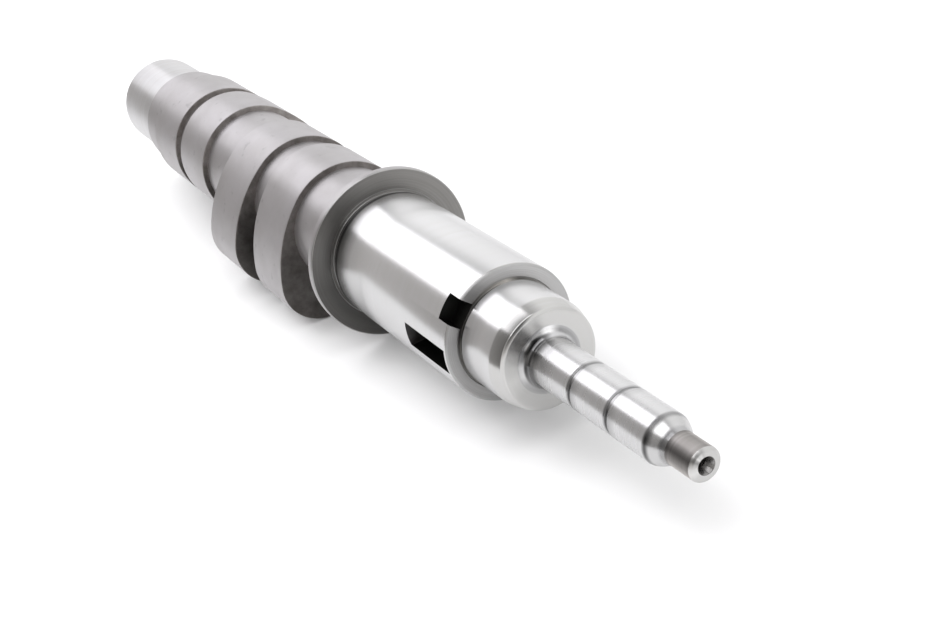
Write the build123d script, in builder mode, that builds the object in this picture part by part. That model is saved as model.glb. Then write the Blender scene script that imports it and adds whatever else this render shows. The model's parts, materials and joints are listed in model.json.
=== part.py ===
from build123d import *
from math import acos, atan, atan2, cos, degrees, hypot, radians, sin
import os

# Camshaft, turned, ground and milled from one piece of steel, in millimetres.
# A station is a place along the shaft, counted from the shoulder of the big journal.
# It is plus towards the stub end and minus towards the rear journal.

# Stub at the front end, rough turned, with a plain neck behind it
stub_diameter = 8.0
stub_length = 8.5
stub_chamfer = 0.7
neck_length = 1.6
neck_flare = 0.35

# Slim nose: two fine rings part its three plain lengths, and its front edge is coned
nose_diameter = 12.2
nose_rear_length = 17.1
nose_middle_length = 13.5
nose_front_length = 13.1
ring_width = 1.0
ring_depth = 0.35
nose_edge_length = 1.5
nose_edge_drop = 0.5
nose_cone_length = 2.1
root_fillet = 2.4

# Boss in front of the journal's shoulder
boss_diameter = 27.5
boss_length = 17.7
boss_taper_length = 3.6
boss_taper_drop = 0.9
boss_edge = 0.9
boss_relief_width = 1.0
boss_relief_depth = 0.4

# Big journal, with a relief turned beside the flange
journal_diameter = 35.0
journal_length = 63.5
journal_edge = 0.5
journal_relief_width = 1.6
journal_relief_depth = 0.5

# Thin flange behind the journal
flange_diameter = 47.2
flange_thickness = 2.4
flange_edge = 0.3

# Core between the flange and the rear journal
core_diameter = 33.4

# Rear journal, with a relief in front of it
rear_diameter = 30.4
rear_length = 30.0
rear_chamfer = 1.0
rear_relief_width = 1.6
rear_relief_depth = 0.5

# The reliefs at the shoulder and the flange run a little way up and into those faces too
face_relief_height = 0.5
face_relief_depth = 0.2

# Centre holes in both ends, a pilot hole with a cone
centre_mouth = 4.2
centre_pilot = 2.0
centre_pilot_depth = 3.5
centre_cone_angle = 60.0

# Cam outline: base circle, two flank arcs and a nose arc, each tangent to the next
base_radius = 18.4
lift = 11.2
nose_arc_radius = 12.6
flank_foot = 90.0
lobe_width = 20.6
lobe_edge = 0.3

# Bare core in front of each of the four lobes and behind the last one,
# and where each cam nose points, counted from the key pocket
lobe_gaps = [24.9, 9.0, 19.1, 4.8]
tail_gap = 13.1
lobe_angles = [44.1, 34.4, 139.8, 130.1]

# Key pocket in the journal and the open slot beside it
pocket_front = -1.1
pocket_length = 20.1
slot_length = 5.0
slot_angle = -44.0
key_width = 6.6
key_depth = 4.0

# Radii that follow from the diameters
stub_radius = stub_diameter / 2
nose_radius = nose_diameter / 2
boss_radius = boss_diameter / 2
journal_radius = journal_diameter / 2
flange_radius = flange_diameter / 2
core_radius = core_diameter / 2
rear_radius = rear_diameter / 2

# Stations that follow from the lengths
first_ring = boss_length + nose_rear_length
second_ring = first_ring + ring_width + nose_middle_length
nose_front = second_ring + ring_width + nose_front_length
cone_rear = nose_front + nose_edge_length
neck_rear = cone_rear + nose_cone_length
stub_rear = neck_rear + neck_length
tip = stub_rear + stub_length
flange_front = -journal_length
flange_rear = flange_front - flange_thickness
lobe_stations = []
bare_front = flange_rear
for gap in lobe_gaps:
    lobe_stations.append(bare_front - gap)
    bare_front = lobe_stations[-1] - lobe_width
core_rear = bare_front - tail_gap
tail = core_rear - rear_length

# The cam's arcs, with the nose pointing along the sketch's X
nose_arc_offset = base_radius + lift - nose_arc_radius
foot_cos = cos(radians(flank_foot))
foot_sin = sin(radians(flank_foot))
flank_offset = (nose_arc_offset**2 - (base_radius - nose_arc_radius) ** 2) / (
    2 * (base_radius - nose_arc_radius - nose_arc_offset * foot_cos)
)
flank_radius = flank_offset + base_radius
flank_centre_x = -flank_offset * foot_cos
flank_centre_y = -flank_offset * foot_sin
flank_top = degrees(atan2(-flank_centre_y, nose_arc_offset - flank_centre_x))

# How it lies: on the flange's rim, on the first lobe's nose and on the last lobe's nose,
# which lean to opposite sides. These three give the roll and the small tilt of the shaft.
first_station = lobe_stations[0]
last_station = lobe_stations[-1]
reach_ratio = (flange_front - first_station) / (flange_front - last_station)
noses_apart = radians(lobe_angles[-1] - lobe_angles[0])
lean_x = 1 - reach_ratio * cos(noses_apart)
lean_y = reach_ratio * sin(noses_apart)
rim_share = (1 - reach_ratio) * (flange_radius - nose_arc_radius) / nose_arc_offset
first_lean = acos(rim_share / hypot(lean_x, lean_y)) - atan2(lean_y, lean_x)
first_depth = nose_arc_offset * cos(first_lean) + nose_arc_radius
tilt = atan((first_depth - flange_radius) / (flange_front - first_station))
key_angle = 180 - degrees(first_lean) - lobe_angles[0]

# The shaft's own plane at the shoulder, with X up and Z towards the stub end
near_lean = radians(180 - key_angle - lobe_angles[1])
far_lean = radians(key_angle + lobe_angles[2] - 180)
half_difference = nose_arc_offset * (sin(near_lean) - sin(far_lean)) / 2
shoulder_height = flange_radius * cos(tilt) + flange_front * sin(tilt)
middle = (tip + tail) / 2
shaft = Plane(
    origin=(-middle * cos(tilt), half_difference, shoulder_height),
    x_dir=(sin(tilt), 0, cos(tilt)),
    z_dir=(cos(tilt), 0, -sin(tilt)),
)
turning_axis = Axis(shaft.origin, shaft.z_dir)


def dial(station, angle):
    """Cross-section plane at a station, its X turned by an angle from the key pocket."""
    turn = radians(key_angle + angle)
    spoke = shaft.x_dir * cos(turn) + shaft.y_dir * sin(turn)
    return Plane(origin=shaft.origin + shaft.z_dir * station, x_dir=spoke, z_dir=shaft.z_dir)


def facing(angle, height):
    """Plane at a height above the turning axis, its X along the shaft, facing outwards."""
    spoke = dial(0, angle).x_dir
    return Plane(origin=shaft.origin + spoke * height, x_dir=shaft.z_dir, z_dir=spoke)


# One cam lobe's outline, its nose along X
with BuildSketch() as cam_outline:
    with BuildLine():
        CenterArc((0, 0), base_radius, flank_foot, 360 - 2 * flank_foot)
        CenterArc((nose_arc_offset, 0), nose_arc_radius, -flank_top, 2 * flank_top)
        flank = CenterArc((flank_centre_x, flank_centre_y), flank_radius, flank_top, flank_foot - flank_top)
        mirror(flank, about=Plane.XZ)
    make_face()

# The four lobes, each broken at the edges of both its faces
lobes = []
for station, angle in zip(lobe_stations, lobe_angles):
    with BuildPart() as lobe:
        with BuildSketch(dial(station, angle)):
            add(cam_outline.sketch)
        extrude(amount=-lobe_width)
        ends = lobe.faces().sort_by(turning_axis)
        chamfer(ends[0].edges() + ends[-1].edges(), lobe_edge)
    lobes.append(lobe.part)

# Half outline of the turned shaft: X is the station and Y the radius
relief_ramp = boss_relief_width - boss_relief_depth
relief_floor = boss_radius - boss_relief_depth
journal_floor = journal_radius - journal_relief_depth
rear_floor = rear_radius - rear_relief_depth
ring_floor = nose_radius - ring_depth
taper_radius = boss_radius - boss_taper_drop
key_floor = journal_radius - key_depth
key_reach = key_depth + journal_edge
half_plane = Plane(origin=shaft.origin, x_dir=shaft.z_dir, z_dir=(0, -1, 0))
with BuildPart() as camshaft:
    with BuildSketch(half_plane):
        with BuildLine():
            rear_end = Polyline(
                (tail, 0),
                (tail, rear_radius - rear_chamfer),
                (tail + rear_chamfer, rear_radius),
                (core_rear - rear_relief_width, rear_radius),
                (core_rear - rear_relief_width, rear_floor),
                (core_rear, rear_floor),
                (core_rear, core_radius),
                (flange_rear, core_radius),
                (flange_rear, flange_radius - flange_edge),
                (flange_rear + flange_edge, flange_radius),
                (flange_front - flange_edge, flange_radius),
                (flange_front, flange_radius - flange_edge),
                (flange_front, journal_radius + face_relief_height),
                (flange_front - face_relief_depth, journal_radius + face_relief_height - face_relief_depth),
                (flange_front - face_relief_depth, journal_floor),
                (flange_front + journal_relief_width - journal_relief_depth, journal_floor),
                (flange_front + journal_relief_width, journal_radius),
                (-journal_edge, journal_radius),
                (0, journal_radius - journal_edge),
                (0, boss_radius + face_relief_height),
                (-face_relief_depth, boss_radius + face_relief_height - face_relief_depth),
                (-face_relief_depth, relief_floor),
                (relief_ramp, relief_floor),
                (boss_relief_width, boss_radius),
                (boss_length - boss_edge / 2 - boss_taper_length, boss_radius),
                (boss_length - boss_edge / 2, taper_radius),
                (boss_length, taper_radius - boss_edge),
                (boss_length, nose_radius + root_fillet),
            )
            root = RadiusArc(rear_end @ 1, (boss_length + root_fillet, nose_radius), -root_fillet)
            Polyline(
                root @ 1,
                (first_ring, nose_radius),
                (first_ring, ring_floor),
                (first_ring + ring_width, ring_floor),
                (first_ring + ring_width, nose_radius),
                (second_ring, nose_radius),
                (second_ring, ring_floor),
                (second_ring + ring_width, ring_floor),
                (second_ring + ring_width, nose_radius),
                (nose_front, nose_radius),
                (cone_rear, nose_radius - nose_edge_drop),
                (neck_rear, stub_radius + neck_flare),
                (stub_rear, stub_radius),
                (tip - stub_chamfer, stub_radius),
                (tip, stub_radius - stub_chamfer),
                (tip, 0),
                (tail, 0),
            )
        make_face()
    revolve(axis=turning_axis)
    add(lobes)

    # Closed key pocket behind the shoulder
    pocket_middle = pocket_front - pocket_length / 2
    with BuildSketch(facing(0, key_floor)):
        with Locations((pocket_middle, 0)):
            Rectangle(pocket_length, key_width)
    extrude(amount=key_reach, mode=Mode.SUBTRACT)

    # Short slot beside it, open at the shoulder and clear of the boss
    with BuildSketch(facing(slot_angle, key_floor)):
        with Locations((-slot_length, 0)):
            Rectangle(slot_length + relief_ramp, key_width, align=(Align.MIN, Align.CENTER))
    extrude(amount=key_reach, mode=Mode.SUBTRACT)

    # Centre hole in each end
    for mouth in (dial(tip, 0), -dial(tail, 0)):
        with Locations(mouth):
            CounterSinkHole(centre_pilot / 2, centre_mouth / 2, centre_pilot_depth, centre_cone_angle)

os.makedirs("parts", exist_ok=True)
camshaft.part.label = "camshaft"
export_step(camshaft.part, "parts/camshaft.step")
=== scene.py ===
# %% [markdown]
# # A camshaft of ground and dull steel
# A camshaft is turned from one bar, its cams are ground to their outline, and only the
# running surfaces are left bright. The rest keeps a dull grey skin.
# This lesson builds its skin from a spun outline and four extruded cams, cuts the key pocket
# and the open slot, gives each surface its own steel and lays it in a white studio.
# First the imported CAD part and its record are loaded as the frame.

# %% Load the frame
import json
from math import acos, atan2, cos, degrees, hypot, pi, radians, sin, tan

import bmesh
import bpy
from mathutils import Matrix, Vector


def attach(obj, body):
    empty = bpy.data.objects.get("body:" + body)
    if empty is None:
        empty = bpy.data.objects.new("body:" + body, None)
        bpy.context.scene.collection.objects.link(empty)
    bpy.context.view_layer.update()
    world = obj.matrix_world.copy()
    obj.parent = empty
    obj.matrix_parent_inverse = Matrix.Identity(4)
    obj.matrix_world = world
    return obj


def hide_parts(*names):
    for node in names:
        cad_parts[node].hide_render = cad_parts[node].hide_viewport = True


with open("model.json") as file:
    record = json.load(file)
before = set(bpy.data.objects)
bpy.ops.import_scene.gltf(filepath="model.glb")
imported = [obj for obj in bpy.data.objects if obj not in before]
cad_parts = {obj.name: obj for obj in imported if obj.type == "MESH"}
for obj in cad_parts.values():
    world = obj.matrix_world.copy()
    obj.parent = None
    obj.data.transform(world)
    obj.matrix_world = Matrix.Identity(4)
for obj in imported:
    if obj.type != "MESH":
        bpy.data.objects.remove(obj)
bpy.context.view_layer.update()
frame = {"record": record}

# %% [markdown]
# ## The shaft's own frame
# On a lathe the bar turns about one axis, so everything here is easier to say as a station
# along that axis and a radius from it. The station is counted from the big journal's
# shoulder, plus towards the stub. The finished part lies on its cams and its flange, which
# leaves the axis tilted by about one degree, so the model is made upright on Z, in
# millimetres, and one matrix lays it down in metres at the end. The CAD part's two centre
# holes say where the axis lies, and its key pocket says how far the shaft has rolled, so
# neither angle is typed here.

# %% The matrix that lays the shaft down
mounts = {mount["name"]: mount for mount in frame["record"]["mounts"]}
front_end = Vector(mounts["front_centre"]["pos_m"])
rear_end = Vector(mounts["rear_centre"]["pos_m"])
millimetre = 0.001
tip = 77.1
axis = (front_end - rear_end).normalized()
shoulder = front_end - axis * tip * millimetre
spoke = Vector((-axis.z, 0, axis.x))
side = axis.cross(spoke)
turned = Matrix((spoke, side, axis)).transposed()
laid = Matrix.Translation(shoulder) @ turned.to_4x4() @ Matrix.Scale(millimetre, 4)
pocket_way = Vector(mounts["key_pocket"]["axis"])
key_angle = degrees(atan2(pocket_way.dot(side), pocket_way.dot(spoke)))
print("shoulder at", [round(value, 5) for value in shoulder], "key pocket at", round(key_angle, 2), "degrees")

# %% [markdown]
# ## The turned outline
# The real bar is turned to this half outline. It could be stacked from cylinders, but then
# every step would leave an inner wall. A wire with one corner for each change of radius,
# spun once round the axis, gives a single closed skin. Each corner is written as a station,
# a radius and how much the tool or the stone rounded it, so the small bright edge lines of
# real machined steel come from the shape itself.

# %% Radii and stations of the turned bar
stub_radius = 4.0
neck_radius = 4.35
cone_radius = 5.6
nose_radius = 6.1
taper_radius = 12.85
boss_radius = 13.75
journal_radius = 17.5
flange_radius = 23.6
core_radius = 16.7
rear_radius = 15.2

stub_rear = 68.6
neck_rear = 67.0
cone_rear = 64.9
nose_front = 63.4
second_ring = 49.3
first_ring = 34.8
root_end = 22.6
boss_front = 17.7
taper_front = 17.25
taper_rear = 13.65
mid_journal = -24.0
flange_front = -63.5
flange_rear = -65.9
core_rear = -219.2
tail = -249.2
print("bar from", tail, "to", tip, "mm, widest", 2 * flange_radius, "mm")

# %% Edges, rings, reliefs and centre holes
root_fillet = 2.4
stub_chamfer = 0.7
boss_edge = 0.9
journal_edge = 0.5
flange_edge = 0.3
rear_chamfer = 1.0
ring_width = 1.0
ring_depth = 0.35
relief_width = 1.6
relief_depth = 0.5
boss_relief_width = 1.0
boss_relief_depth = 0.4
face_relief_height = 0.5
face_relief_depth = 0.2
mouth_radius = 2.1
pilot_radius = 1.0
pilot_depth = 3.5
cone_depth = (mouth_radius - pilot_radius) / tan(radians(30))


def ring(station):
    """Corners of a fine ring turned into the nose."""
    return [
        (station - 0.55, nose_radius, 0.2),
        (station, nose_radius - 0.2, 0.1),
        (station, nose_radius - ring_depth, 0.1),
        (station + ring_width, nose_radius - ring_depth, 0.1),
        (station + ring_width, nose_radius, 0.25),
    ]


def relief(face, radius, width, depth, rounding):
    """Corners of a relief turned where a face meets the cylinder in front of it."""
    return [
        (face, radius + face_relief_height, 0.05),
        (face - face_relief_depth, radius + face_relief_height - face_relief_depth, 0.05),
        (face - face_relief_depth, radius - depth, rounding),
        (face + width - depth, radius - depth, 0.1),
        (face + width, radius, 0.1),
    ]


def centre_hole(end, inwards, lip):
    """Corners of a centre hole, from the middle of its floor out to its mouth."""
    return [
        (end + inwards * pilot_depth, 0, 0),
        (end + inwards * pilot_depth, pilot_radius, 0),
        (end + inwards * cone_depth, pilot_radius, 0.05),
        (end, mouth_radius, lip),
    ]


print("centre holes taper for", round(cone_depth, 2), "mm and end", pilot_depth, "mm deep")

# %% Corners of the outline: station, radius, rounding
outline = [
    *centre_hole(tail, 1, 0.08),
    (tail, rear_radius - rear_chamfer, 0.15),
    (tail + rear_chamfer, rear_radius, 0.15),
    (core_rear - relief_width, rear_radius, 0.1),
    (core_rear - relief_width, rear_radius - relief_depth, 0.1),
    (core_rear, rear_radius - relief_depth, 0.1),
    (core_rear, core_radius, 0.15),
    (flange_rear, core_radius, 0.3),
    (flange_rear, flange_radius - flange_edge, 0.1),
    (flange_rear + flange_edge, flange_radius, 0.1),
    (flange_front - flange_edge, flange_radius, 0.1),
    (flange_front, flange_radius - flange_edge, 0.1),
    *relief(flange_front, journal_radius, relief_width, relief_depth, 0.15),
    (mid_journal, journal_radius, 0),
    (-journal_edge, journal_radius, 0.12),
    (0, journal_radius - journal_edge, 0.12),
    *relief(0, boss_radius, boss_relief_width, boss_relief_depth, 0.1),
    (taper_rear, boss_radius, 0.3),
    (taper_front, taper_radius, 0.2),
    (boss_front, taper_radius - boss_edge, 0.2),
    (boss_front, nose_radius, root_fillet),
    (root_end, nose_radius, 0),
    *ring(first_ring),
    *ring(second_ring),
    (nose_front, nose_radius, 0.2),
    (cone_rear, cone_radius, 0.6),
    (neck_rear, neck_radius, 0.6),
    (stub_rear, stub_radius, 0.2),
    (tip - stub_chamfer, stub_radius, 0.25),
    (tip, stub_radius - stub_chamfer, 0.25),
    *reversed(centre_hole(tip, -1, 0.1)),
]
print(len(outline), "corners in the outline")

# %% Draw the wire, round its corners and spin it
wire = bmesh.new()
corners = [wire.verts.new((radius, 0, station)) for station, radius, rounding in outline]
for first, second in zip(corners, corners[1:]):
    wire.edges.new((first, second))
for size in sorted({rounding for station, radius, rounding in outline if rounding}):
    chosen = [corner for corner, (station, radius, rounding) in zip(corners, outline) if rounding == size]
    bmesh.ops.bevel(
        wire,
        geom=chosen,
        offset=size,
        offset_type="OFFSET",
        affect="VERTICES",
        segments=12 if size > 1 else 3,
        profile=0.5,
        material=-1,
    )
print("the rounded wire has", len(wire.verts), "points")

around = 256
bmesh.ops.spin(
    wire,
    geom=wire.verts[:] + wire.edges[:],
    cent=(0, 0, 0),
    axis=(0, 0, 1),
    angle=2 * pi,
    steps=around,
    use_merge=True,
    use_duplicate=False,
)
bmesh.ops.remove_doubles(wire, verts=wire.verts, dist=0.0005)
bmesh.ops.recalc_face_normals(wire, faces=wire.faces)
shaft_mesh = bpy.data.meshes.new("shaft")
wire.to_mesh(shaft_mesh)
wire.free()
shaft = bpy.data.objects.new("camshaft_skin", shaft_mesh)
bpy.context.scene.collection.objects.link(shaft)
print("spun skin", len(shaft_mesh.polygons), "faces")

# %% [markdown]
# ## The cams
# A cam's outline is four arcs that meet without a kink: the base circle, two flanks and the
# nose. One point, spun about each arc's own centre in turn, draws exactly that line, which
# no scaled circle would. The flank's centre follows from the other radii, because arcs that
# touch have their centres in line. The flat face is then filled, pulled to the cam's width
# and broken along both rims, as a grinder does it with a stone.

# %% The cam's arcs, in millimetres
base_radius = 18.4
lift = 11.2
nose_arc_radius = 12.6
cam_width = 20.6
cam_edge = 0.3
nose_centre = base_radius + lift - nose_arc_radius
radius_drop = base_radius - nose_arc_radius
flank_centre = (nose_centre**2 - radius_drop**2) / (2 * radius_drop)
flank_top = degrees(atan2(flank_centre, nose_centre))
base_steps = 128
flank_steps = 36
nose_steps = 80
print("flank arc radius", round(flank_centre + base_radius, 2), "mm, met at", round(flank_top, 2), "degrees")


# %% One cam, its nose along X and its front face at zero
def sweep(mesh, point, centre, angle, steps):
    """Drag one point round a centre and hand back where it ends."""
    result = bmesh.ops.spin(
        mesh,
        geom=[point],
        cent=centre,
        axis=(0, 0, 1),
        angle=radians(angle),
        steps=steps,
        use_merge=False,
        use_duplicate=False,
    )
    return next(part for part in result["geom_last"] if isinstance(part, bmesh.types.BMVert))


def ordered(mesh):
    """The points of one closed wire, one after the other."""
    start = mesh.verts[:][0]
    chain = [start]
    edge = start.link_edges[0]
    while True:
        point = edge.other_vert(chain[-1])
        if point is start:
            return chain
        chain.append(point)
        edge = next(other for other in point.link_edges if other is not edge)


def cam(station, angle):
    """A closed cam with its front face at a station and its nose at an angle."""
    mesh = bmesh.new()
    point = mesh.verts.new((0, base_radius, 0))
    point = sweep(mesh, point, (0, 0, 0), 180, base_steps)
    point = sweep(mesh, point, (0, flank_centre, 0), 90 - flank_top, flank_steps)
    point = sweep(mesh, point, (nose_centre, 0, 0), 2 * flank_top, nose_steps)
    sweep(mesh, point, (0, -flank_centre, 0), 90 - flank_top, flank_steps)
    bmesh.ops.remove_doubles(mesh, verts=mesh.verts, dist=0.01)
    face = mesh.faces.new(ordered(mesh))
    pulled = bmesh.ops.extrude_face_region(mesh, geom=[face])
    moved = [part for part in pulled["geom"] if isinstance(part, bmesh.types.BMVert)]
    bmesh.ops.translate(mesh, verts=moved, vec=(0, 0, -cam_width))
    rims = [edge for edge in mesh.edges if len({round(v.co.z, 3) for v in edge.verts}) == 1]
    bmesh.ops.bevel(
        mesh,
        geom=rims,
        offset=cam_edge,
        offset_type="OFFSET",
        affect="EDGES",
        segments=2,
        profile=0.5,
        material=-1,
    )
    bmesh.ops.recalc_face_normals(mesh, faces=mesh.faces)
    turn = Matrix.Translation((0, 0, station)) @ Matrix.Rotation(radians(key_angle + angle), 4, "Z")
    bmesh.ops.transform(mesh, matrix=turn, verts=mesh.verts)
    data = bpy.data.meshes.new("cam")
    mesh.to_mesh(data)
    mesh.free()
    return data


print("a cam is", cam_width, "mm wide and", base_radius + nose_centre + nose_arc_radius, "mm high")

# %% [markdown]
# ## Joining and cutting
# The cams and the bar are one piece of steel, so they are joined with a Boolean, and the
# key pocket and the slot are cut with two plain blocks, as the milling cutter does. Doing it
# on closed skins keeps the result closed, and every cut edge is exactly where the CAD part
# has it.

# %% A cutter block, and how skins are combined
key_width = 6.6
key_floor = 13.5
key_top = 20.0


def block(low, high, angle):
    """A cutter between two stations, over the key floor, turned to an angle."""
    mesh = bmesh.new()
    bmesh.ops.create_cube(mesh, size=1)
    size = Matrix.Diagonal((key_top - key_floor, key_width, high - low, 1))
    place = Matrix.Translation(((key_top + key_floor) / 2, 0, (high + low) / 2))
    turn = Matrix.Rotation(radians(key_angle + angle), 4, "Z")
    bmesh.ops.transform(mesh, matrix=turn @ place @ size, verts=mesh.verts)
    data = bpy.data.meshes.new("block")
    mesh.to_mesh(data)
    mesh.free()
    return data


def combine(target, tool_mesh, operation):
    """Join or cut with one closed mesh and keep only the result."""
    tool = bpy.data.objects.new("tool", tool_mesh)
    bpy.context.scene.collection.objects.link(tool)
    modifier = target.modifiers.new(operation, "BOOLEAN")
    modifier.operation = operation
    modifier.solver = "EXACT"
    modifier.object = tool
    graph = bpy.context.evaluated_depsgraph_get()
    made = bpy.data.meshes.new_from_object(target.evaluated_get(graph))
    target.modifiers.clear()
    target.data = made
    bpy.data.objects.remove(tool)


print("the key cutter is", key_width, "mm wide and stops", key_floor, "mm from the axis")

# %% Join the cams, cut the key pocket and the open slot
# Each cam's front face, and how far its nose stands round from the key pocket
cam_places = {-90.8: 44.1, -120.4: 34.4, -160.1: 139.8, -185.5: 130.1}
pocket_front = -1.1
pocket_rear = -21.2
slot_rear = -5.0
slot_front = 0.6
slot_angle = -44.0

for station, angle in cam_places.items():
    combine(shaft, cam(station, angle), "UNION")
combine(shaft, block(pocket_rear, pocket_front, 0), "DIFFERENCE")
combine(shaft, block(slot_rear, slot_front, slot_angle), "DIFFERENCE")
print("joined skin", len(shaft.data.polygons), "faces")

# %% [markdown]
# ## Which steel goes where
# The stone leaves the journals, the nose and the boss bright. The lathe tool leaves fine
# rings on the faces. The cams and the core stay matt and grey, their side faces darker still.
# The stub is rougher, and the milled recesses are painted nearly black, as shade. One skin
# carries all of them, so each face is given its slot by its station, its radius and where it
# looks. Most limits lie slightly beside the real edges, so that the narrow faces of a rounded
# edge go where they are wanted.

# %% The finish of one face
finishes = [
    "ground_steel",
    "nose_steel",
    "root_steel",
    "faced_steel",
    "shoulder_steel",
    "flange_steel",
    "cam_steel",
    "cam_side_steel",
    "rear_steel",
    "stub_steel",
    "tip_steel",
    "centre_hole",
    "milled_recess",
]
edge_zone = 0.3


def finish_of(centre, normal):
    """The finish of a face, from its middle and its direction in the upright model."""
    station = centre.z
    radius = hypot(centre.x, centre.y)
    facing = abs(normal.z)
    if radius < mouth_radius + 0.05 and (station > stub_rear or station < core_rear):
        return "centre_hole"
    on_shoulder = station > -edge_zone and facing > 0.5
    in_pocket = pocket_rear - edge_zone < station < -0.25 and radius < journal_radius - edge_zone
    if in_pocket and not on_shoulder:
        return "milled_recess"
    if station < core_rear:
        return "rear_steel"
    if station < flange_rear - 0.01:
        return "cam_steel" if facing < 0.5 else "cam_side_steel"
    if station < flange_front + 0.01:
        if facing < 0.2 and radius > flange_radius - 0.1:
            return "cam_steel"
        return "shoulder_steel" if 0.2 < facing < 0.9 else "flange_steel"
    if -0.25 < station < boss_relief_width - 0.05 and radius < boss_radius + 0.2:
        return "flange_steel"
    if station > stub_rear - edge_zone:
        return "stub_steel" if station < tip - stub_chamfer - 0.05 else "tip_steel"
    if station > root_end:
        return "nose_steel"
    if station > boss_front - 0.1 and radius < nose_radius + root_fillet + 0.02:
        return "root_steel"
    if -edge_zone < station < edge_zone and radius > boss_radius:
        return "shoulder_steel"
    return "faced_steel" if facing > 0.1 else "ground_steel"


print(len(finishes), "finishes")

# %% Sort the faces
for name in finishes:
    shaft.data.materials.append(bpy.data.materials.new(name))
counts = dict.fromkeys(finishes, 0)
for polygon in shaft.data.polygons:
    name = finish_of(polygon.center, polygon.normal)
    polygon.material_index = finishes.index(name)
    polygon.use_smooth = True
    counts[name] += 1
print(counts)

# %% Lay the shaft down and keep its machined edges crisp
crisp_angle = 12
shaft.data.transform(laid)
shaft.data.set_sharp_from_angle(angle=radians(crisp_angle))
shaft.data.update()
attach(shaft, "root")
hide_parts("camshaft")
print("laid shaft measures", [round(length, 4) for length in shaft.dimensions], "m")

# %% [markdown]
# ## Steel with machining marks
# Ground steel isn't a mirror. Thousands of fine grooves run round it, so a lamp is smeared
# along the shaft and stays sharp across it, which is what makes the long bright bands. The
# shader's anisotropy does that, once its tangent points across the grooves everywhere: the
# direction round the axis, crossed with the surface's normal, is right for cylinders, cones
# and faces alike. Marks wide enough to see are noise that changes quickly along the outline
# and slowly round it.


# %% Node helpers
def node(tree, kind, **settings):
    """A new shader node with its properties set."""
    made = tree.nodes.new("ShaderNode" + kind)
    for key, value in settings.items():
        setattr(made, key, value)
    return made


def feed(tree, socket, value):
    """Link a socket, or set its value where a plain number or vector is given."""
    if isinstance(value, bpy.types.NodeSocket):
        tree.links.new(value, socket)
    else:
        socket.default_value = value


def calculate(tree, operation, *values):
    """A Math node's result."""
    made = node(tree, "Math", operation=operation)
    for socket, value in zip(made.inputs, values):
        feed(tree, socket, value)
    return made.outputs[0]


def vector(tree, operation, *values):
    """A Vector Math node's result."""
    made = node(tree, "VectorMath", operation=operation)
    sockets = [made.inputs["Vector"], made.inputs["Scale"]] if operation == "SCALE" else made.inputs
    for socket, value in zip(sockets, values):
        feed(tree, socket, value)
    return made.outputs["Value" if operation in ("LENGTH", "DOT_PRODUCT") else "Vector"]


def spread(tree, value, low, high, to_low, to_high):
    """Map a value from one range to another, clamped."""
    made = node(tree, "MapRange")
    names = ("Value", "From Min", "From Max", "To Min", "To Max")
    for name, given in zip(names, (value, low, high, to_low, to_high)):
        feed(tree, made.inputs[name], given)
    return made.outputs["Result"]


def tones(tree, value, *stops):
    """A colour ramp through (place, colour) stops."""
    made = node(tree, "ValToRGB")
    ramp = made.color_ramp
    while len(ramp.elements) < len(stops):
        ramp.elements.new(0.5)
    for element, (place, colour) in zip(ramp.elements, stops):
        element.position = place
        element.color = (*colour, 1)
    tree.links.new(value, made.inputs["Fac"])
    return made.outputs["Color"]


def noise(tree, where, scale, detail=2.0, rough=0.5):
    """Noise, 0 to 1, at a scale."""
    made = node(tree, "TexNoise")
    tree.links.new(where, made.inputs["Vector"])
    made.inputs["Scale"].default_value = scale
    made.inputs["Detail"].default_value = detail
    made.inputs["Roughness"].default_value = rough
    return made.outputs["Fac"]


# %% Coordinates on the shaft, and the marks a tool leaves
def on_shaft(tree):
    """Object coordinates turned onto the shaft, in metres, Z along it from the shoulder."""
    place = node(tree, "Mapping", vector_type="TEXTURE")
    place.inputs["Location"].default_value = shoulder
    place.inputs["Rotation"].default_value = turned.to_euler()
    tree.links.new(node(tree, "TexCoord").outputs["Object"], place.inputs["Vector"])
    return place.outputs["Vector"]


def shaft_parts(tree):
    """The three coordinates on the shaft, each by itself."""
    parts = node(tree, "SeparateXYZ")
    tree.links.new(on_shaft(tree), parts.inputs[0])
    return parts.outputs


def at_angle(tree):
    """Angle round the shaft, in degrees from true up towards the camera's side."""
    parts = shaft_parts(tree)
    return calculate(tree, "DEGREES", calculate(tree, "ARCTAN2", parts["Y"], parts["X"]))


def at_station(tree):
    """Station along the shaft, in millimetres."""
    return calculate(tree, "MULTIPLY", shaft_parts(tree)["Z"], 1 / millimetre)


def marks(tree, pitch, reach):
    """Noise in long rings round the shaft: pitch across them and reach along them, in metres."""
    # The radius counts for more than the station, so that the rings cross a chamfer too
    radius_weight = 1.7
    parts = shaft_parts(tree)
    flat = node(tree, "CombineXYZ")
    tree.links.new(parts["X"], flat.inputs["X"])
    tree.links.new(parts["Y"], flat.inputs["Y"])
    radius = vector(tree, "LENGTH", flat.outputs[0])
    outline_way = calculate(tree, "MULTIPLY_ADD", radius, radius_weight, parts["Z"])
    rings = node(tree, "CombineXYZ")
    tree.links.new(calculate(tree, "MULTIPLY", parts["X"], 1 / reach), rings.inputs["X"])
    tree.links.new(calculate(tree, "MULTIPLY", parts["Y"], 1 / reach), rings.inputs["Y"])
    tree.links.new(calculate(tree, "MULTIPLY", outline_way, 1 / pitch), rings.inputs["Z"])
    return noise(tree, rings.outputs[0], 1.0, 3.0)


# Blender's noise keeps mostly between these two values
noise_low = 0.3
noise_high = 0.7


def varied(tree, pattern, low, high):
    """A value between two limits that follows a noise."""
    return spread(tree, pattern, noise_low, noise_high, low, high)


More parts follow.
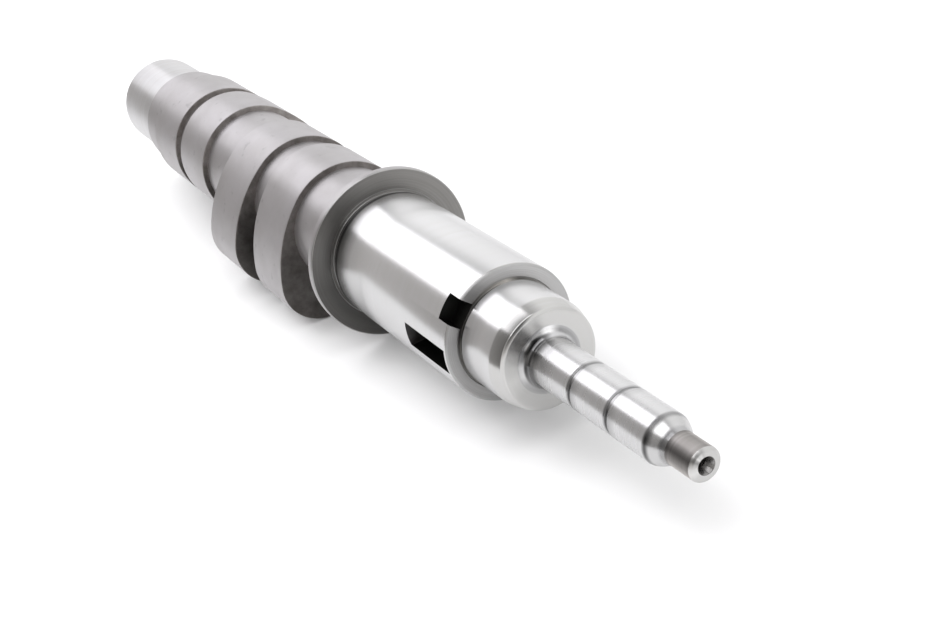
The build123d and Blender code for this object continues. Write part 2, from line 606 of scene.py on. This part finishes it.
def marked_colour(tree, pitch, reach, dark, light):
    """A colour between two tones that follows the marks."""
    return tones(tree, marks(tree, pitch, reach), (noise_low, dark), (noise_high, light))


def marked_rough(tree, pitch, reach, low, high):
    """A roughness between two values that follows the marks."""
    return varied(tree, marks(tree, pitch, reach), low, high)


# %% [markdown]
# ## Painted shade and painted reflections
# Shade in grooves, corners and creases, and the streaks a polished part shows where it mirrors
# its own faces, are painted on the steel's colour here. Both change along the shaft or round it
# and hardly across each other, so a painted shade is one soft curve by station, in millimetres,
# times another by angle, in degrees from true up towards the camera's side. Image textures could
# hold the same, but curves stay sharp at any size and can be changed one stop at a time. The
# stops were set by comparing the render's brightness with the photograph's at the same
# stations and angles, and then rounded. Because these reflections and shades are painted, they
# stay in place when the light or the view changes.


# %% Shades along the shaft and round it
def shades(tree, value, low, high, stops):
    """Grey shades at given values between low and high."""
    places = [((at - low) / (high - low), (shade, shade, shade)) for at, shade in stops]
    return tones(tree, spread(tree, value, low, high, 0.0, 1.0), *places)


def along_shaft(tree, *stops):
    """Shades at given stations, from the first stop to the last."""
    return shades(tree, at_station(tree), stops[0][0], stops[-1][0], stops)


def round_shaft(tree, *stops):
    """Shades at given angles, over the whole turn."""
    return shades(tree, at_angle(tree), -180.0, 180.0, stops)


def unshaded(tree, depth, strength):
    """What a painted shade leaves of a colour, from its two curves."""
    return calculate(tree, "SUBTRACT", 1.0, calculate(tree, "MULTIPLY", depth, strength))


def partly(tree, share, factor):
    """A factor that counts only by a share."""
    return calculate(tree, "MULTIPLY_ADD", share, calculate(tree, "SUBTRACT", factor, 1.0), 1.0)


def scaled(tree, colour, *factors):
    """A colour times each of some factors."""
    for factor in factors:
        colour = vector(tree, "SCALE", colour, factor)
    return colour


# %% [markdown]
# ## Grooves, rounded ends and one steel
# Where a stone runs up to a face, it leaves the last few millimetres of a cylinder very
# slightly hollow, far less than a mesh shows, but the mirrored room bends there. That is
# done in the bump, as a height that rises with the square of the distance, beside the fine
# height of the tool marks. Each steel is then one Principled shader, fully metallic.


# %% The normal's helpers
def flare(tree, start, length, rise):
    """Height, in metres, of a surface that curls up towards a face behind it."""
    share = spread(tree, at_station(tree), start, start - length, 0.0, 1.0)
    return calculate(tree, "MULTIPLY", calculate(tree, "MULTIPLY", share, share), rise)


def across_grooves(tree):
    """Tangent across the turned grooves: the normal crossed with the way round the axis."""
    place = node(tree, "TexCoord").outputs["Object"]
    outwards = vector(tree, "SUBTRACT", place, shoulder)
    round_axis = vector(tree, "CROSS_PRODUCT", axis, outwards)
    return vector(tree, "CROSS_PRODUCT", node(tree, "NewGeometry").outputs["Normal"], round_axis)


def steel(name, colour, roughness, height, smear, depth, flares=()):
    """Set up one of the skin's steels: how far it smears a lamp, and its marks' depth in metres."""
    material = bpy.data.materials[name]
    material.use_nodes = True
    tree = material.node_tree
    shader = tree.nodes["Principled BSDF"]
    shader.inputs["Metallic"].default_value = 1.0
    shader.inputs["Anisotropic"].default_value = smear
    feed(tree, shader.inputs["Base Color"], colour(tree))
    feed(tree, shader.inputs["Roughness"], roughness(tree))
    tree.links.new(across_grooves(tree), shader.inputs["Tangent"])
    bump = node(tree, "Bump")
    bump.inputs["Strength"].default_value = 1.0
    bump.inputs["Distance"].default_value = 1.0
    heights = calculate(tree, "MULTIPLY", height(tree), depth)
    for start, length, rise in flares:
        heights = calculate(tree, "ADD", heights, flare(tree, start, length, rise))
    tree.links.new(heights, bump.inputs["Height"])
    tree.links.new(bump.outputs["Normal"], shader.inputs["Normal"])
    print(name, "has", len(tree.nodes), "nodes")


def tool_marks(tree):
    """Fine rings, as height."""
    return marks(tree, 0.0003, 0.06)


# %% [markdown]
# ## The bright steels
# The big journal, the boss and the nose are ground, which leaves them nearly white and
# almost smooth. The journal has painted shade close to the flange, the nose has painted shade
# in its two rings, at its cone and in its neck, and its root is a polished fillet with painted
# streaks of light and shade where it mirrors the boss and the nose at once.


# %% Ground journal and boss
def ground_colour(tree):
    return marked_colour(tree, 0.0005, 0.05, (0.665, 0.662, 0.66), (0.69, 0.69, 0.70))


def ground_rough(tree):
    return marked_rough(tree, 0.004, 0.2, 0.22, 0.25)


def journal_colour(tree):
    # Painted light and shade: the relief a little lighter, a dark line just in front of it, and darker steel
    # close to the flange on the camera's side.
    corner = along_shaft(tree, (-63.0, 1.1), (-62.3, 1.15), (-61.9, 0.3), (-60.9, 0.35), (-60.3, 1.0))
    depth = along_shaft(tree, (-60.5, 0.62), (-57.0, 0.36), (-53.5, 0.0))
    strength = round_shaft(tree, (-180, 0.0), (20, 0.0), (36, 0.8), (66, 0.8), (82, 0.15), (180, 0.0))
    return scaled(tree, ground_colour(tree), corner, unshaded(tree, depth, strength))


# Where a flare starts and how long it is, in millimetres, and its rise in metres
journal_flare = (-46.0, 16.0, 0.0023)
boss_flare = (9.0, 8.5, 0.0010)
ground_flares = [journal_flare, boss_flare]
steel("ground_steel", journal_colour, ground_rough, tool_marks, smear=0.3, depth=1e-7, flares=ground_flares)


# %% Nose, with painted shade in its rings
def ring_shade_stops(station):
    """Stops of the painted shade in one ring: deep in the ring and fading out towards the front."""
    return [
        (station - 0.6, 0.0),
        (station - 0.1, 0.6),
        (station + 0.1, 1.0),
        (station + 0.9, 1.0),
        (station + 1.3, 0.45),
        (station + 2.2, 0.3),
        (station + 4.1, 0.0),
    ]


def nose_colour(tree):
    # Painted shade near the root, in the rings, at the cone's edge and in the neck, strongest on the camera's
    # side.
    root_shade_stops = [(root_end, 0.28), (24.0, 0.22), (27.5, 0.0)]
    edge_shade_stops = [(63.0, 0.0), (63.5, 0.65), (63.9, 1.0), (64.3, 0.8), (64.9, 0.1)]
    neck_shade_stops = [(66.6, 0.1), (67.3, 0.5), (stub_rear, 0.6)]
    rings_shade_stops = [*ring_shade_stops(first_ring), *ring_shade_stops(second_ring)]
    depth = along_shaft(tree, *root_shade_stops, *rings_shade_stops, *edge_shade_stops, *neck_shade_stops)
    strength = round_shaft(
        tree,
        (-180, 0.6),
        (-60, 0.5),
        (10, 0.5),
        (32, 0.3),
        (42, 0.45),
        (56, 0.86),
        (88, 0.86),
        (120, 0.65),
        (180, 0.6),
    )
    return scaled(tree, ground_colour(tree), unshaded(tree, depth, strength))


def nose_rough(tree):
    return marked_rough(tree, 0.002, 0.05, 0.26, 0.30)


nose_flare = (29.0, 9.0, 0.0009)
steel("nose_steel", nose_colour, nose_rough, tool_marks, smear=0.3, depth=2e-7, flares=[nose_flare])


# %% The nose's root, a polished fillet
def root_painted_shade(tree):
    """Painted shade: a darker band over the fillet, strongest on the camera's side."""
    depth = along_shaft(tree, (18.0, 0.0), (18.3, 1.0), (20.4, 1.0), (21.2, 0.72), (root_end, 0.28))
    strength = round_shaft(
        tree,
        (-180, 0.4),
        (-60, 0.1),
        (-16, 0.05),
        (-6, 0.4),
        (10, 0.7),
        (30, 0.8),
        (44, 0.65),
        (64, 0.65),
        (76, 0.8),
        (104, 0.65),
        (180, 0.4),
    )
    return unshaded(tree, depth, strength)


def root_painted_streaks(tree):
    """Painted reflections: bright and dark streaks in the fillet's outer rim."""
    rim = along_shaft(tree, (boss_front, 0.7), (17.8, 1.0), (18.05, 1.0), (18.4, 0.0))
    streaks = round_shaft(
        tree,
        (-180, 0.6),
        (-36, 0.5),
        (-28, 0.8),
        (-16, 1.5),
        (-6, 1.4),
        (4, 0.6),
        (24, 0.4),
        (32, 1.0),
        (40, 0.65),
        (47, 0.15),
        (64, 0.3),
        (76, 0.8),
        (94, 0.95),
        (114, 0.65),
    )
    return partly(tree, rim, streaks)


def root_shade_wedge(tree):
    """Painted shade: a dark wedge in the crease between the rim and the fillet."""
    crease = along_shaft(tree, (18.1, 0.0), (18.25, 0.8), (18.55, 1.0), (18.8, 0.0))
    wedge = round_shaft(
        tree,
        (-20, 1.0),
        (-4, 0.75),
        (14, 0.6),
        (26, 0.4),
        (46, 0.35),
        (80, 0.4),
        (100, 0.8),
        (116, 1.0),
    )
    return partly(tree, crease, wedge)


def root_colour(tree):
    return scaled(tree, ground_colour(tree), root_painted_shade(tree), root_painted_streaks(tree), root_shade_wedge(tree))


def root_rough(tree):
    return marked_rough(tree, 0.002, 0.05, 0.16, 0.20)


steel("root_steel", root_colour, root_rough, tool_marks, smear=0.2, depth=2e-7, flares=[nose_flare])


# %% Rear journal, ground more coarsely
def rear_colour(tree):
    return marked_colour(tree, 0.001, 0.03, (0.62, 0.61, 0.61), (0.68, 0.68, 0.69))


def rear_rough(tree):
    return marked_rough(tree, 0.002, 0.05, 0.34, 0.42)


steel("rear_steel", rear_colour, rear_rough, tool_marks, smear=0.7, depth=6e-7)


# %% [markdown]
# ## The faced steels
# A lathe tool that runs across a face leaves rings, and a lamp shows in them as a fan of
# light and dark. The room here is too plain to throw that fan, so the boss's face carries it
# as shades round the axis. The shoulder was faced more coarsely and never polished.


# %% Boss face, taper and stub end
def faced_colour(tree):
    skin = marked_colour(tree, 0.0004, 0.05, (0.607, 0.602, 0.587), (0.632, 0.63, 0.626))
    front = along_shaft(tree, (17.6, 0.0), (17.68, 1.0))
    # The fan is a painted reflection of light and dark, on the boss's face and every faced surface in front
    # of it.
    fan = round_shaft(
        tree,
        (-180, 1.0),
        (-8, 1.0),
        (4, 0.85),
        (14, 1.15),
        (24, 1.0),
        (32, 1.25),
        (40, 0.65),
        (48, 0.45),
        (58, 0.75),
        (74, 1.05),
        (94, 1.2),
        (120, 1.0),
    )
    return scaled(tree, skin, partly(tree, front, fan))


def faced_rough(tree):
    return marked_rough(tree, 0.002, 0.08, 0.20, 0.225)


def tip_rough(tree):
    return marked_rough(tree, 0.0006, 0.02, 0.36, 0.44)


steel("faced_steel", faced_colour, faced_rough, tool_marks, smear=0.4, depth=1.5e-7)
steel("tip_steel", faced_colour, tip_rough, tool_marks, smear=0.2, depth=6e-7)


# %% Shoulder
def shoulder_colour(tree):
    skin = marked_colour(tree, 0.0004, 0.05, (0.37, 0.365, 0.36), (0.44, 0.44, 0.44))
    # Painted light and shade: the shoulder lighter over the top and darker at about seventy degrees towards
    # the camera's side.
    painted_upper_light = round_shaft(
        tree,
        (-180, 1.0),
        (-80, 1.22),
        (20, 1.3),
        (42, 1.2),
        (70, 0.88),
        (100, 1.06),
        (180, 1.0),
    )
    return scaled(tree, skin, painted_upper_light)


def shoulder_rough(tree):
    return marked_rough(tree, 0.0008, 0.04, 0.32, 0.42)


steel("shoulder_steel", shoulder_colour, shoulder_rough, tool_marks, smear=0.6, depth=2e-6)

# %% [markdown]
# ## The dark steels
# The flange's face is a darker turned grey, with painted shade that darkens it towards the bottom,
# and the groove beside the boss is the same grey with painted light and shade round it. The cams
# and the core have a matt, slightly mottled skin with a few specks, which is noise in place of
# rings. The stub is a dull dark steel with painted light and shade round it, and the two recesses
# are painted near black inside, as shade, but for the one end wall, painted lighter where the
# light reaches.


# %% Flange and boss groove
def flange_colour(tree):
    skin = marked_colour(tree, 0.0006, 0.03, (0.238, 0.232, 0.223), (0.276, 0.27, 0.26))
    # Painted shade: the flange's face darker towards the bottom.
    painted_lower_shade = round_shaft(
        tree,
        (-180, 0.5),
        (-90, 1.0),
        (-36, 0.95),
        (-6, 0.86),
        (24, 0.86),
        (44, 0.78),
        (64, 0.66),
        (94, 0.46),
        (180, 0.42),
    )
    # Painted light and shade round the groove beside the boss.
    beside_boss = along_shaft(tree, (-2.0, 0.0), (-1.0, 1.0))
    groove = round_shaft(
        tree,
        (-180, 1.3),
        (-26, 1.1),
        (-12, 2.8),
        (2, 2.2),
        (16, 1.4),
        (30, 0.9),
        (46, 0.6),
        (66, 0.7),
        (86, 1.9),
        (120, 2.2),
        (180, 1.3),
    )
    return scaled(tree, skin, painted_lower_shade, partly(tree, beside_boss, groove), 1.1)


def flange_rough(tree):
    return marked_rough(tree, 0.001, 0.04, 0.36, 0.46)


steel("flange_steel", flange_colour, flange_rough, tool_marks, smear=0.4, depth=2e-6)


# %% Cams and core
def cam_colour(tree):
    clouds = noise(tree, on_shaft(tree), 70.0, 4.0, 0.6)
    skin = tones(tree, clouds, (noise_low, (0.465, 0.450, 0.452)), (noise_high, (0.530, 0.515, 0.526)))
    specks = noise(tree, on_shaft(tree), 330.0)
    return scaled(tree, skin, spread(tree, specks, 0.66, 0.74, 1.0, 0.84))


def cam_rough(tree):
    return varied(tree, noise(tree, on_shaft(tree), 180.0, 4.0), 0.43, 0.50)


def cam_grain(tree):
    return noise(tree, on_shaft(tree), 4000.0, 3.0)


steel("cam_steel", cam_colour, cam_rough, cam_grain, smear=0.3, depth=5e-6)


# %% Side faces of the cams
def cam_side_colour(tree):
    clouds = noise(tree, on_shaft(tree), 260.0, 5.0, 0.65)
    skin = tones(tree, clouds, (0.32, (0.085, 0.078, 0.073)), (0.68, (0.155, 0.146, 0.14)))
    # Painted light and shade: the side faces lighter above and darker below.
    painted_upper_light = round_shaft(tree, (-180, 0.5), (-100, 1.0), (-40, 1.0), (60, 0.9), (95, 0.5), (180, 0.45))
    far = along_shaft(tree, (-165, 1.35), (-130, 1.0))
    return scaled(tree, skin, painted_upper_light, far, 2.2)


def cam_side_rough(tree):
    return varied(tree, noise(tree, on_shaft(tree), 300.0, 4.0), 0.42, 0.55)


steel("cam_side_steel", cam_side_colour, cam_side_rough, cam_grain, smear=0.3, depth=8e-6)


# %% Dull stub, with painted light and shade
def stub_colour(tree):
    skin = marked_colour(tree, 0.0005, 0.02, (0.29, 0.275, 0.265), (0.35, 0.335, 0.325))
    # Painted light and shade round the stub, and painted shade at its inner end beside the neck.
    painted_stub_light = round_shaft(
        tree,
        (-180, 1.5),
        (-66, 1.75),
        (-36, 1.35),
        (-24, 1.0),
        (4, 1.4),
        (22, 1.1),
        (30, 0.8),
        (44, 0.6),
        (54, 0.45),
        (84, 0.9),
        (106, 1.65),
        (180, 1.5),
    )
    inner_shade = along_shaft(tree, (stub_rear, 0.7), (69.6, 1.0))
    return scaled(tree, skin, painted_stub_light, inner_shade)


def stub_rough(tree):
    return marked_rough(tree, 0.0006, 0.02, 0.46, 0.54)


steel("stub_steel", stub_colour, stub_rough, tool_marks, smear=0.3, depth=3e-6)


# %% Centre holes and milled recesses
def hole_colour(tree):
    # Painted shade: the centre holes a darker grey than the faced steel around them.
    return marked_colour(tree, 0.0002, 0.01, (0.22, 0.215, 0.21), (0.34, 0.335, 0.33))


def hole_rough(tree):
    return varied(tree, noise(tree, on_shaft(tree), 2500.0, 3.0), 0.20, 0.32)


def recess_colour(tree):
    # Painted shade: the recesses near black inside, with the end wall that the light reaches painted lighter.
    lit_wall = spread(tree, at_station(tree), pocket_rear + 0.1, pocket_rear + 0.7, 1.0, 0.0)
    return tones(tree, lit_wall, (0.0, (0.03, 0.03, 0.028)), (1.0, (0.22, 0.215, 0.21)))


def recess_rough(tree):
    return varied(tree, noise(tree, on_shaft(tree), 1500.0, 3.0), 0.35, 0.5)


steel("centre_hole", hole_colour, hole_rough, tool_marks, smear=0.4, depth=2e-6)
steel("milled_recess", recess_colour, recess_rough, tool_marks, smear=0.3, depth=8e-6)

# %% [markdown]
# ## Camera
# The photograph was taken with a short tele lens from the stub's end, a little above the
# shaft and rolled by about seventeen degrees. The camera comes before the light, because the
# room that the steel mirrors is dark where the camera and its hood stand.

# %% Camera
camera_place = Vector((0.387312, -0.125148, 0.207992))
camera_way = Vector((-0.816546, 0.321325, -0.479586))
camera_roll = radians(-17.224)
camera_data = bpy.data.cameras.new("camera")
camera_data.sensor_width = 36
camera_data.lens = 59.854
camera = bpy.data.objects.new("camera", camera_data)
level_right = camera_way.cross(Vector((0, 0, 1))).normalized()
level_up = level_right.cross(camera_way)
right = level_right * cos(camera_roll) + level_up * sin(camera_roll)
upward = right.cross(camera_way)
camera_turn = Matrix((right, upward, -camera_way)).transposed().to_4x4()
camera.matrix_world = Matrix.Translation(camera_place) @ camera_turn
bpy.context.scene.collection.objects.link(camera)
bpy.context.scene.camera = camera
print("camera", round((camera_place - shoulder).length, 3), "m from the shoulder")

# %% [markdown]
# ## The studio
# The shaft lies on a white sweep with nothing else in view. The floor is a real pale surface
# that takes the shaft's shadow. Light Path makes it lighter for the camera and for what the
# steel mirrors, and leaves it a dull grey for the light that bounces, so the object isn't
# lit by the trick.

# %% Floor
floor_length = 3.2
floor_width = 1.8
floor_middle = (-1.1, 0.66, 0)
seen_white = 0.86
mirrored_white = 0.74
bounced_white = 0.25

floor_mesh = bmesh.new()
bmesh.ops.create_grid(floor_mesh, x_segments=1, y_segments=1, size=0.5)
sheet = Matrix.Translation(floor_middle) @ Matrix.Diagonal((floor_length, floor_width, 1, 1))
bmesh.ops.transform(floor_mesh, matrix=sheet, verts=floor_mesh.verts)
floor_data = bpy.data.meshes.new("floor")
floor_mesh.to_mesh(floor_data)
floor_mesh.free()
floor = bpy.data.objects.new("floor", floor_data)
bpy.context.scene.collection.objects.link(floor)

paper = bpy.data.materials.new("white_sweep")
paper.use_nodes = True
tree = paper.node_tree
paper_shader = tree.nodes["Principled BSDF"]
paper_shader.inputs["Roughness"].default_value = 0.9
paper_shader.inputs["Specular IOR Level"].default_value = 0.1
rays = node(tree, "LightPath").outputs
mirrored = calculate(tree, "MAXIMUM", rays["Is Glossy Ray"], rays["Is Transmission Ray"])
whiteness = calculate(tree, "MULTIPLY_ADD", rays["Is Camera Ray"], seen_white - bounced_white, bounced_white)
whiteness = calculate(tree, "MULTIPLY_ADD", mirrored, mirrored_white - bounced_white, whiteness)
tree.links.new(whiteness, paper_shader.inputs["Base Color"])
floor_data.materials.append(paper)
print("floor", floor_length, "by", floor_width, "m")

# %% [markdown]
# ## Light
# What polished steel shows is the room, so the room is the finish as much as the metal is.
# A long soft panel hangs over the shaft and leans a little to the camera's side, and gives
# the wide white band on every cylinder. A shorter one carries that band on over the nose.
# A small lamp that the steel doesn't mirror lights the floor alone, and makes the shaft's
# shadow there a little firmer.

# %% Three lamps
plain_white = (1.0, 1.0, 1.0)
lilac_white = (1.0, 0.99, 1.02)
pinkish_white = (1.0, 0.99, 1.01)


def panel(name, middle, towards, length, width, radiance, colour):
    """A soft rectangular lamp of a given brightness, its long side along a direction."""
    lamp = bpy.data.lights.new(name, "AREA")
    lamp.shape = "RECTANGLE"
    lamp.size = length
    lamp.size_y = width
    lamp.energy = radiance * pi * length * width
    lamp.color = colour
    along = Vector(towards).normalized()
    back = (Vector(middle) - shoulder).normalized()
    across = back.cross(along).normalized()
    back = along.cross(across)
    held = bpy.data.objects.new(name, lamp)
    held.matrix_world = Matrix.Translation(middle) @ Matrix((along, across, back)).transposed().to_4x4()
    held.visible_camera = False
    bpy.context.scene.collection.objects.link(held)
    print(name, round(lamp.energy, 2), "W")
    return held


def overhead(x, height, lean):
    """A place over the shaft, leaning by degrees from true up towards the camera's side."""
    return Vector((x, -height * sin(radians(lean)), shoulder.z + height * cos(radians(lean))))


near_end = overhead(-0.18, 0.84, 12.2)
far_end = overhead(-1.30, 0.56, 12.2)
middle = (near_end + far_end) / 2
panel_way = near_end - far_end
panel("long_panel", middle, panel_way, panel_way.length, width=0.68, radiance=1.7, colour=lilac_white)
low_end = overhead(0.17, 0.8, 13)
high_end = overhead(0.62, 0.8, 13)
middle = (low_end + high_end) / 2
panel_way = high_end - low_end
panel("front_panel", middle, panel_way, length=0.45, width=0.80, radiance=2.1, colour=pinkish_white)
floor_lamp = panel(
    "floor_panel",
    overhead(-0.40, 0.85, 20),
    (1, 0, 0),
    length=0.35,
    width=0.35,
    radiance=2.6,
    colour=plain_white,
)
floor_lamp.visible_glossy = False

# %% [markdown]
# ## The room
# The far wall is white, the ceiling between is dim, and the room behind the camera is grey,
# which makes the dark band under the white one. A dark patch stands for the camera and its
# hood. The world paints that room from the direction alone, so the steel shows it from every
# side. Its greys were set by working out which part of the room each bright or dark band on
# the photographed steel looks at. The camera sees plain white in its place, and diffuse rays
# get an even fill, which softens the floor's shadow and doesn't reach metal.

# %% Directions in the room
world = bpy.data.worlds.new("white_room")
bpy.context.scene.world = world
world.use_nodes = True
tree = world.node_tree
looking = node(tree, "TexCoord").outputs["Generated"]
direction = node(tree, "SeparateXYZ")
tree.links.new(looking, direction.inputs[0])
sideways = calculate(tree, "MULTIPLY", direction.outputs["Y"], -1.0)
lean = calculate(tree, "ARCTAN2", sideways, direction.outputs["Z"])
turn = spread(tree, lean, -pi, pi, 0.0, 1.0)
lengthways = spread(tree, direction.outputs["X"], -1.0, 1.0, 0.0, 1.0)


def at_lean(angle):
    """Place on the room's ramp of a direction, in degrees from true up."""
    return (angle + 180) / 360


def grey(level):
    """A grey as a colour."""
    return (level, level, level)


print("true up is", at_lean(0), "along the room's ramp")

# %% Walls of the room
far_wall = tones(
    tree,
    turn,
    (at_lean(-100), grey(1.08)),
    (at_lean(-75), grey(1.16)),
    (at_lean(-57), grey(1.27)),
    (at_lean(-38), grey(1.27)),
    (at_lean(-28), grey(1.0)),
    (at_lean(-18), grey(0.68)),
    (at_lean(2), grey(0.22)),
    (at_lean(45), grey(0.0)),
)
near_room = tones(tree, turn, (at_lean(0), grey(0.0)), (at_lean(45), grey(1.0)))
behind = tones(
    tree,
    lengthways,
    (0.06, grey(0.62)),
    (0.12, grey(0.47)),
    (0.29, grey(0.27)),
    (0.40, grey(0.13)),
    (0.52, grey(0.13)),
    (0.62, grey(0.40)),
    (0.76, grey(1.0)),
)
fade = tones(tree, lengthways, (0.08, grey(1.0)), (0.24, grey(0.84)))
room = calculate(tree, "MULTIPLY_ADD", far_wall, fade, calculate(tree, "MULTIPLY", near_room, behind))
to_camera = vector(tree, "DOT_PRODUCT", looking, -camera_way)
patch_rim = 0.82
patch_middle = 0.95
patch_level = 0.12
patch = spread(tree, to_camera, patch_rim, patch_middle, 1.0, patch_level)
room = calculate(tree, "MULTIPLY", room, patch)
print("the dark patch fades out", round(degrees(acos(patch_rim))), "degrees from the camera")

# %% Who sees what
diffuse_fill = 0.98
rays = node(tree, "LightPath").outputs
fill = calculate(tree, "MULTIPLY", rays["Is Diffuse Ray"], diffuse_fill)
plain = calculate(tree, "ADD", rays["Is Camera Ray"], fill)
seen_plain = calculate(tree, "ADD", rays["Is Camera Ray"], rays["Is Diffuse Ray"])
mirrors = calculate(tree, "SUBTRACT", 1.0, seen_plain)
strength = calculate(tree, "MULTIPLY_ADD", room, mirrors, plain)
warm_place = calculate(tree, "MULTIPLY", turn, mirrors)
warmth = tones(
    tree,
    warm_place,
    (0.0, (1, 1, 1)),
    (at_lean(20), (1, 0.995, 1.0)),
    (at_lean(45), (1, 0.97, 0.95)),
)
backdrop = tree.nodes["Background"]
tree.links.new(warmth, backdrop.inputs["Color"])
tree.links.new(strength, backdrop.inputs["Strength"])
print("the room has", len(tree.nodes), "nodes")

# %% [markdown]
# ## Closing
# The picture keeps Blender's plain view transform.

# %% Picture settings
bpy.context.scene.view_settings.view_transform = "Standard"
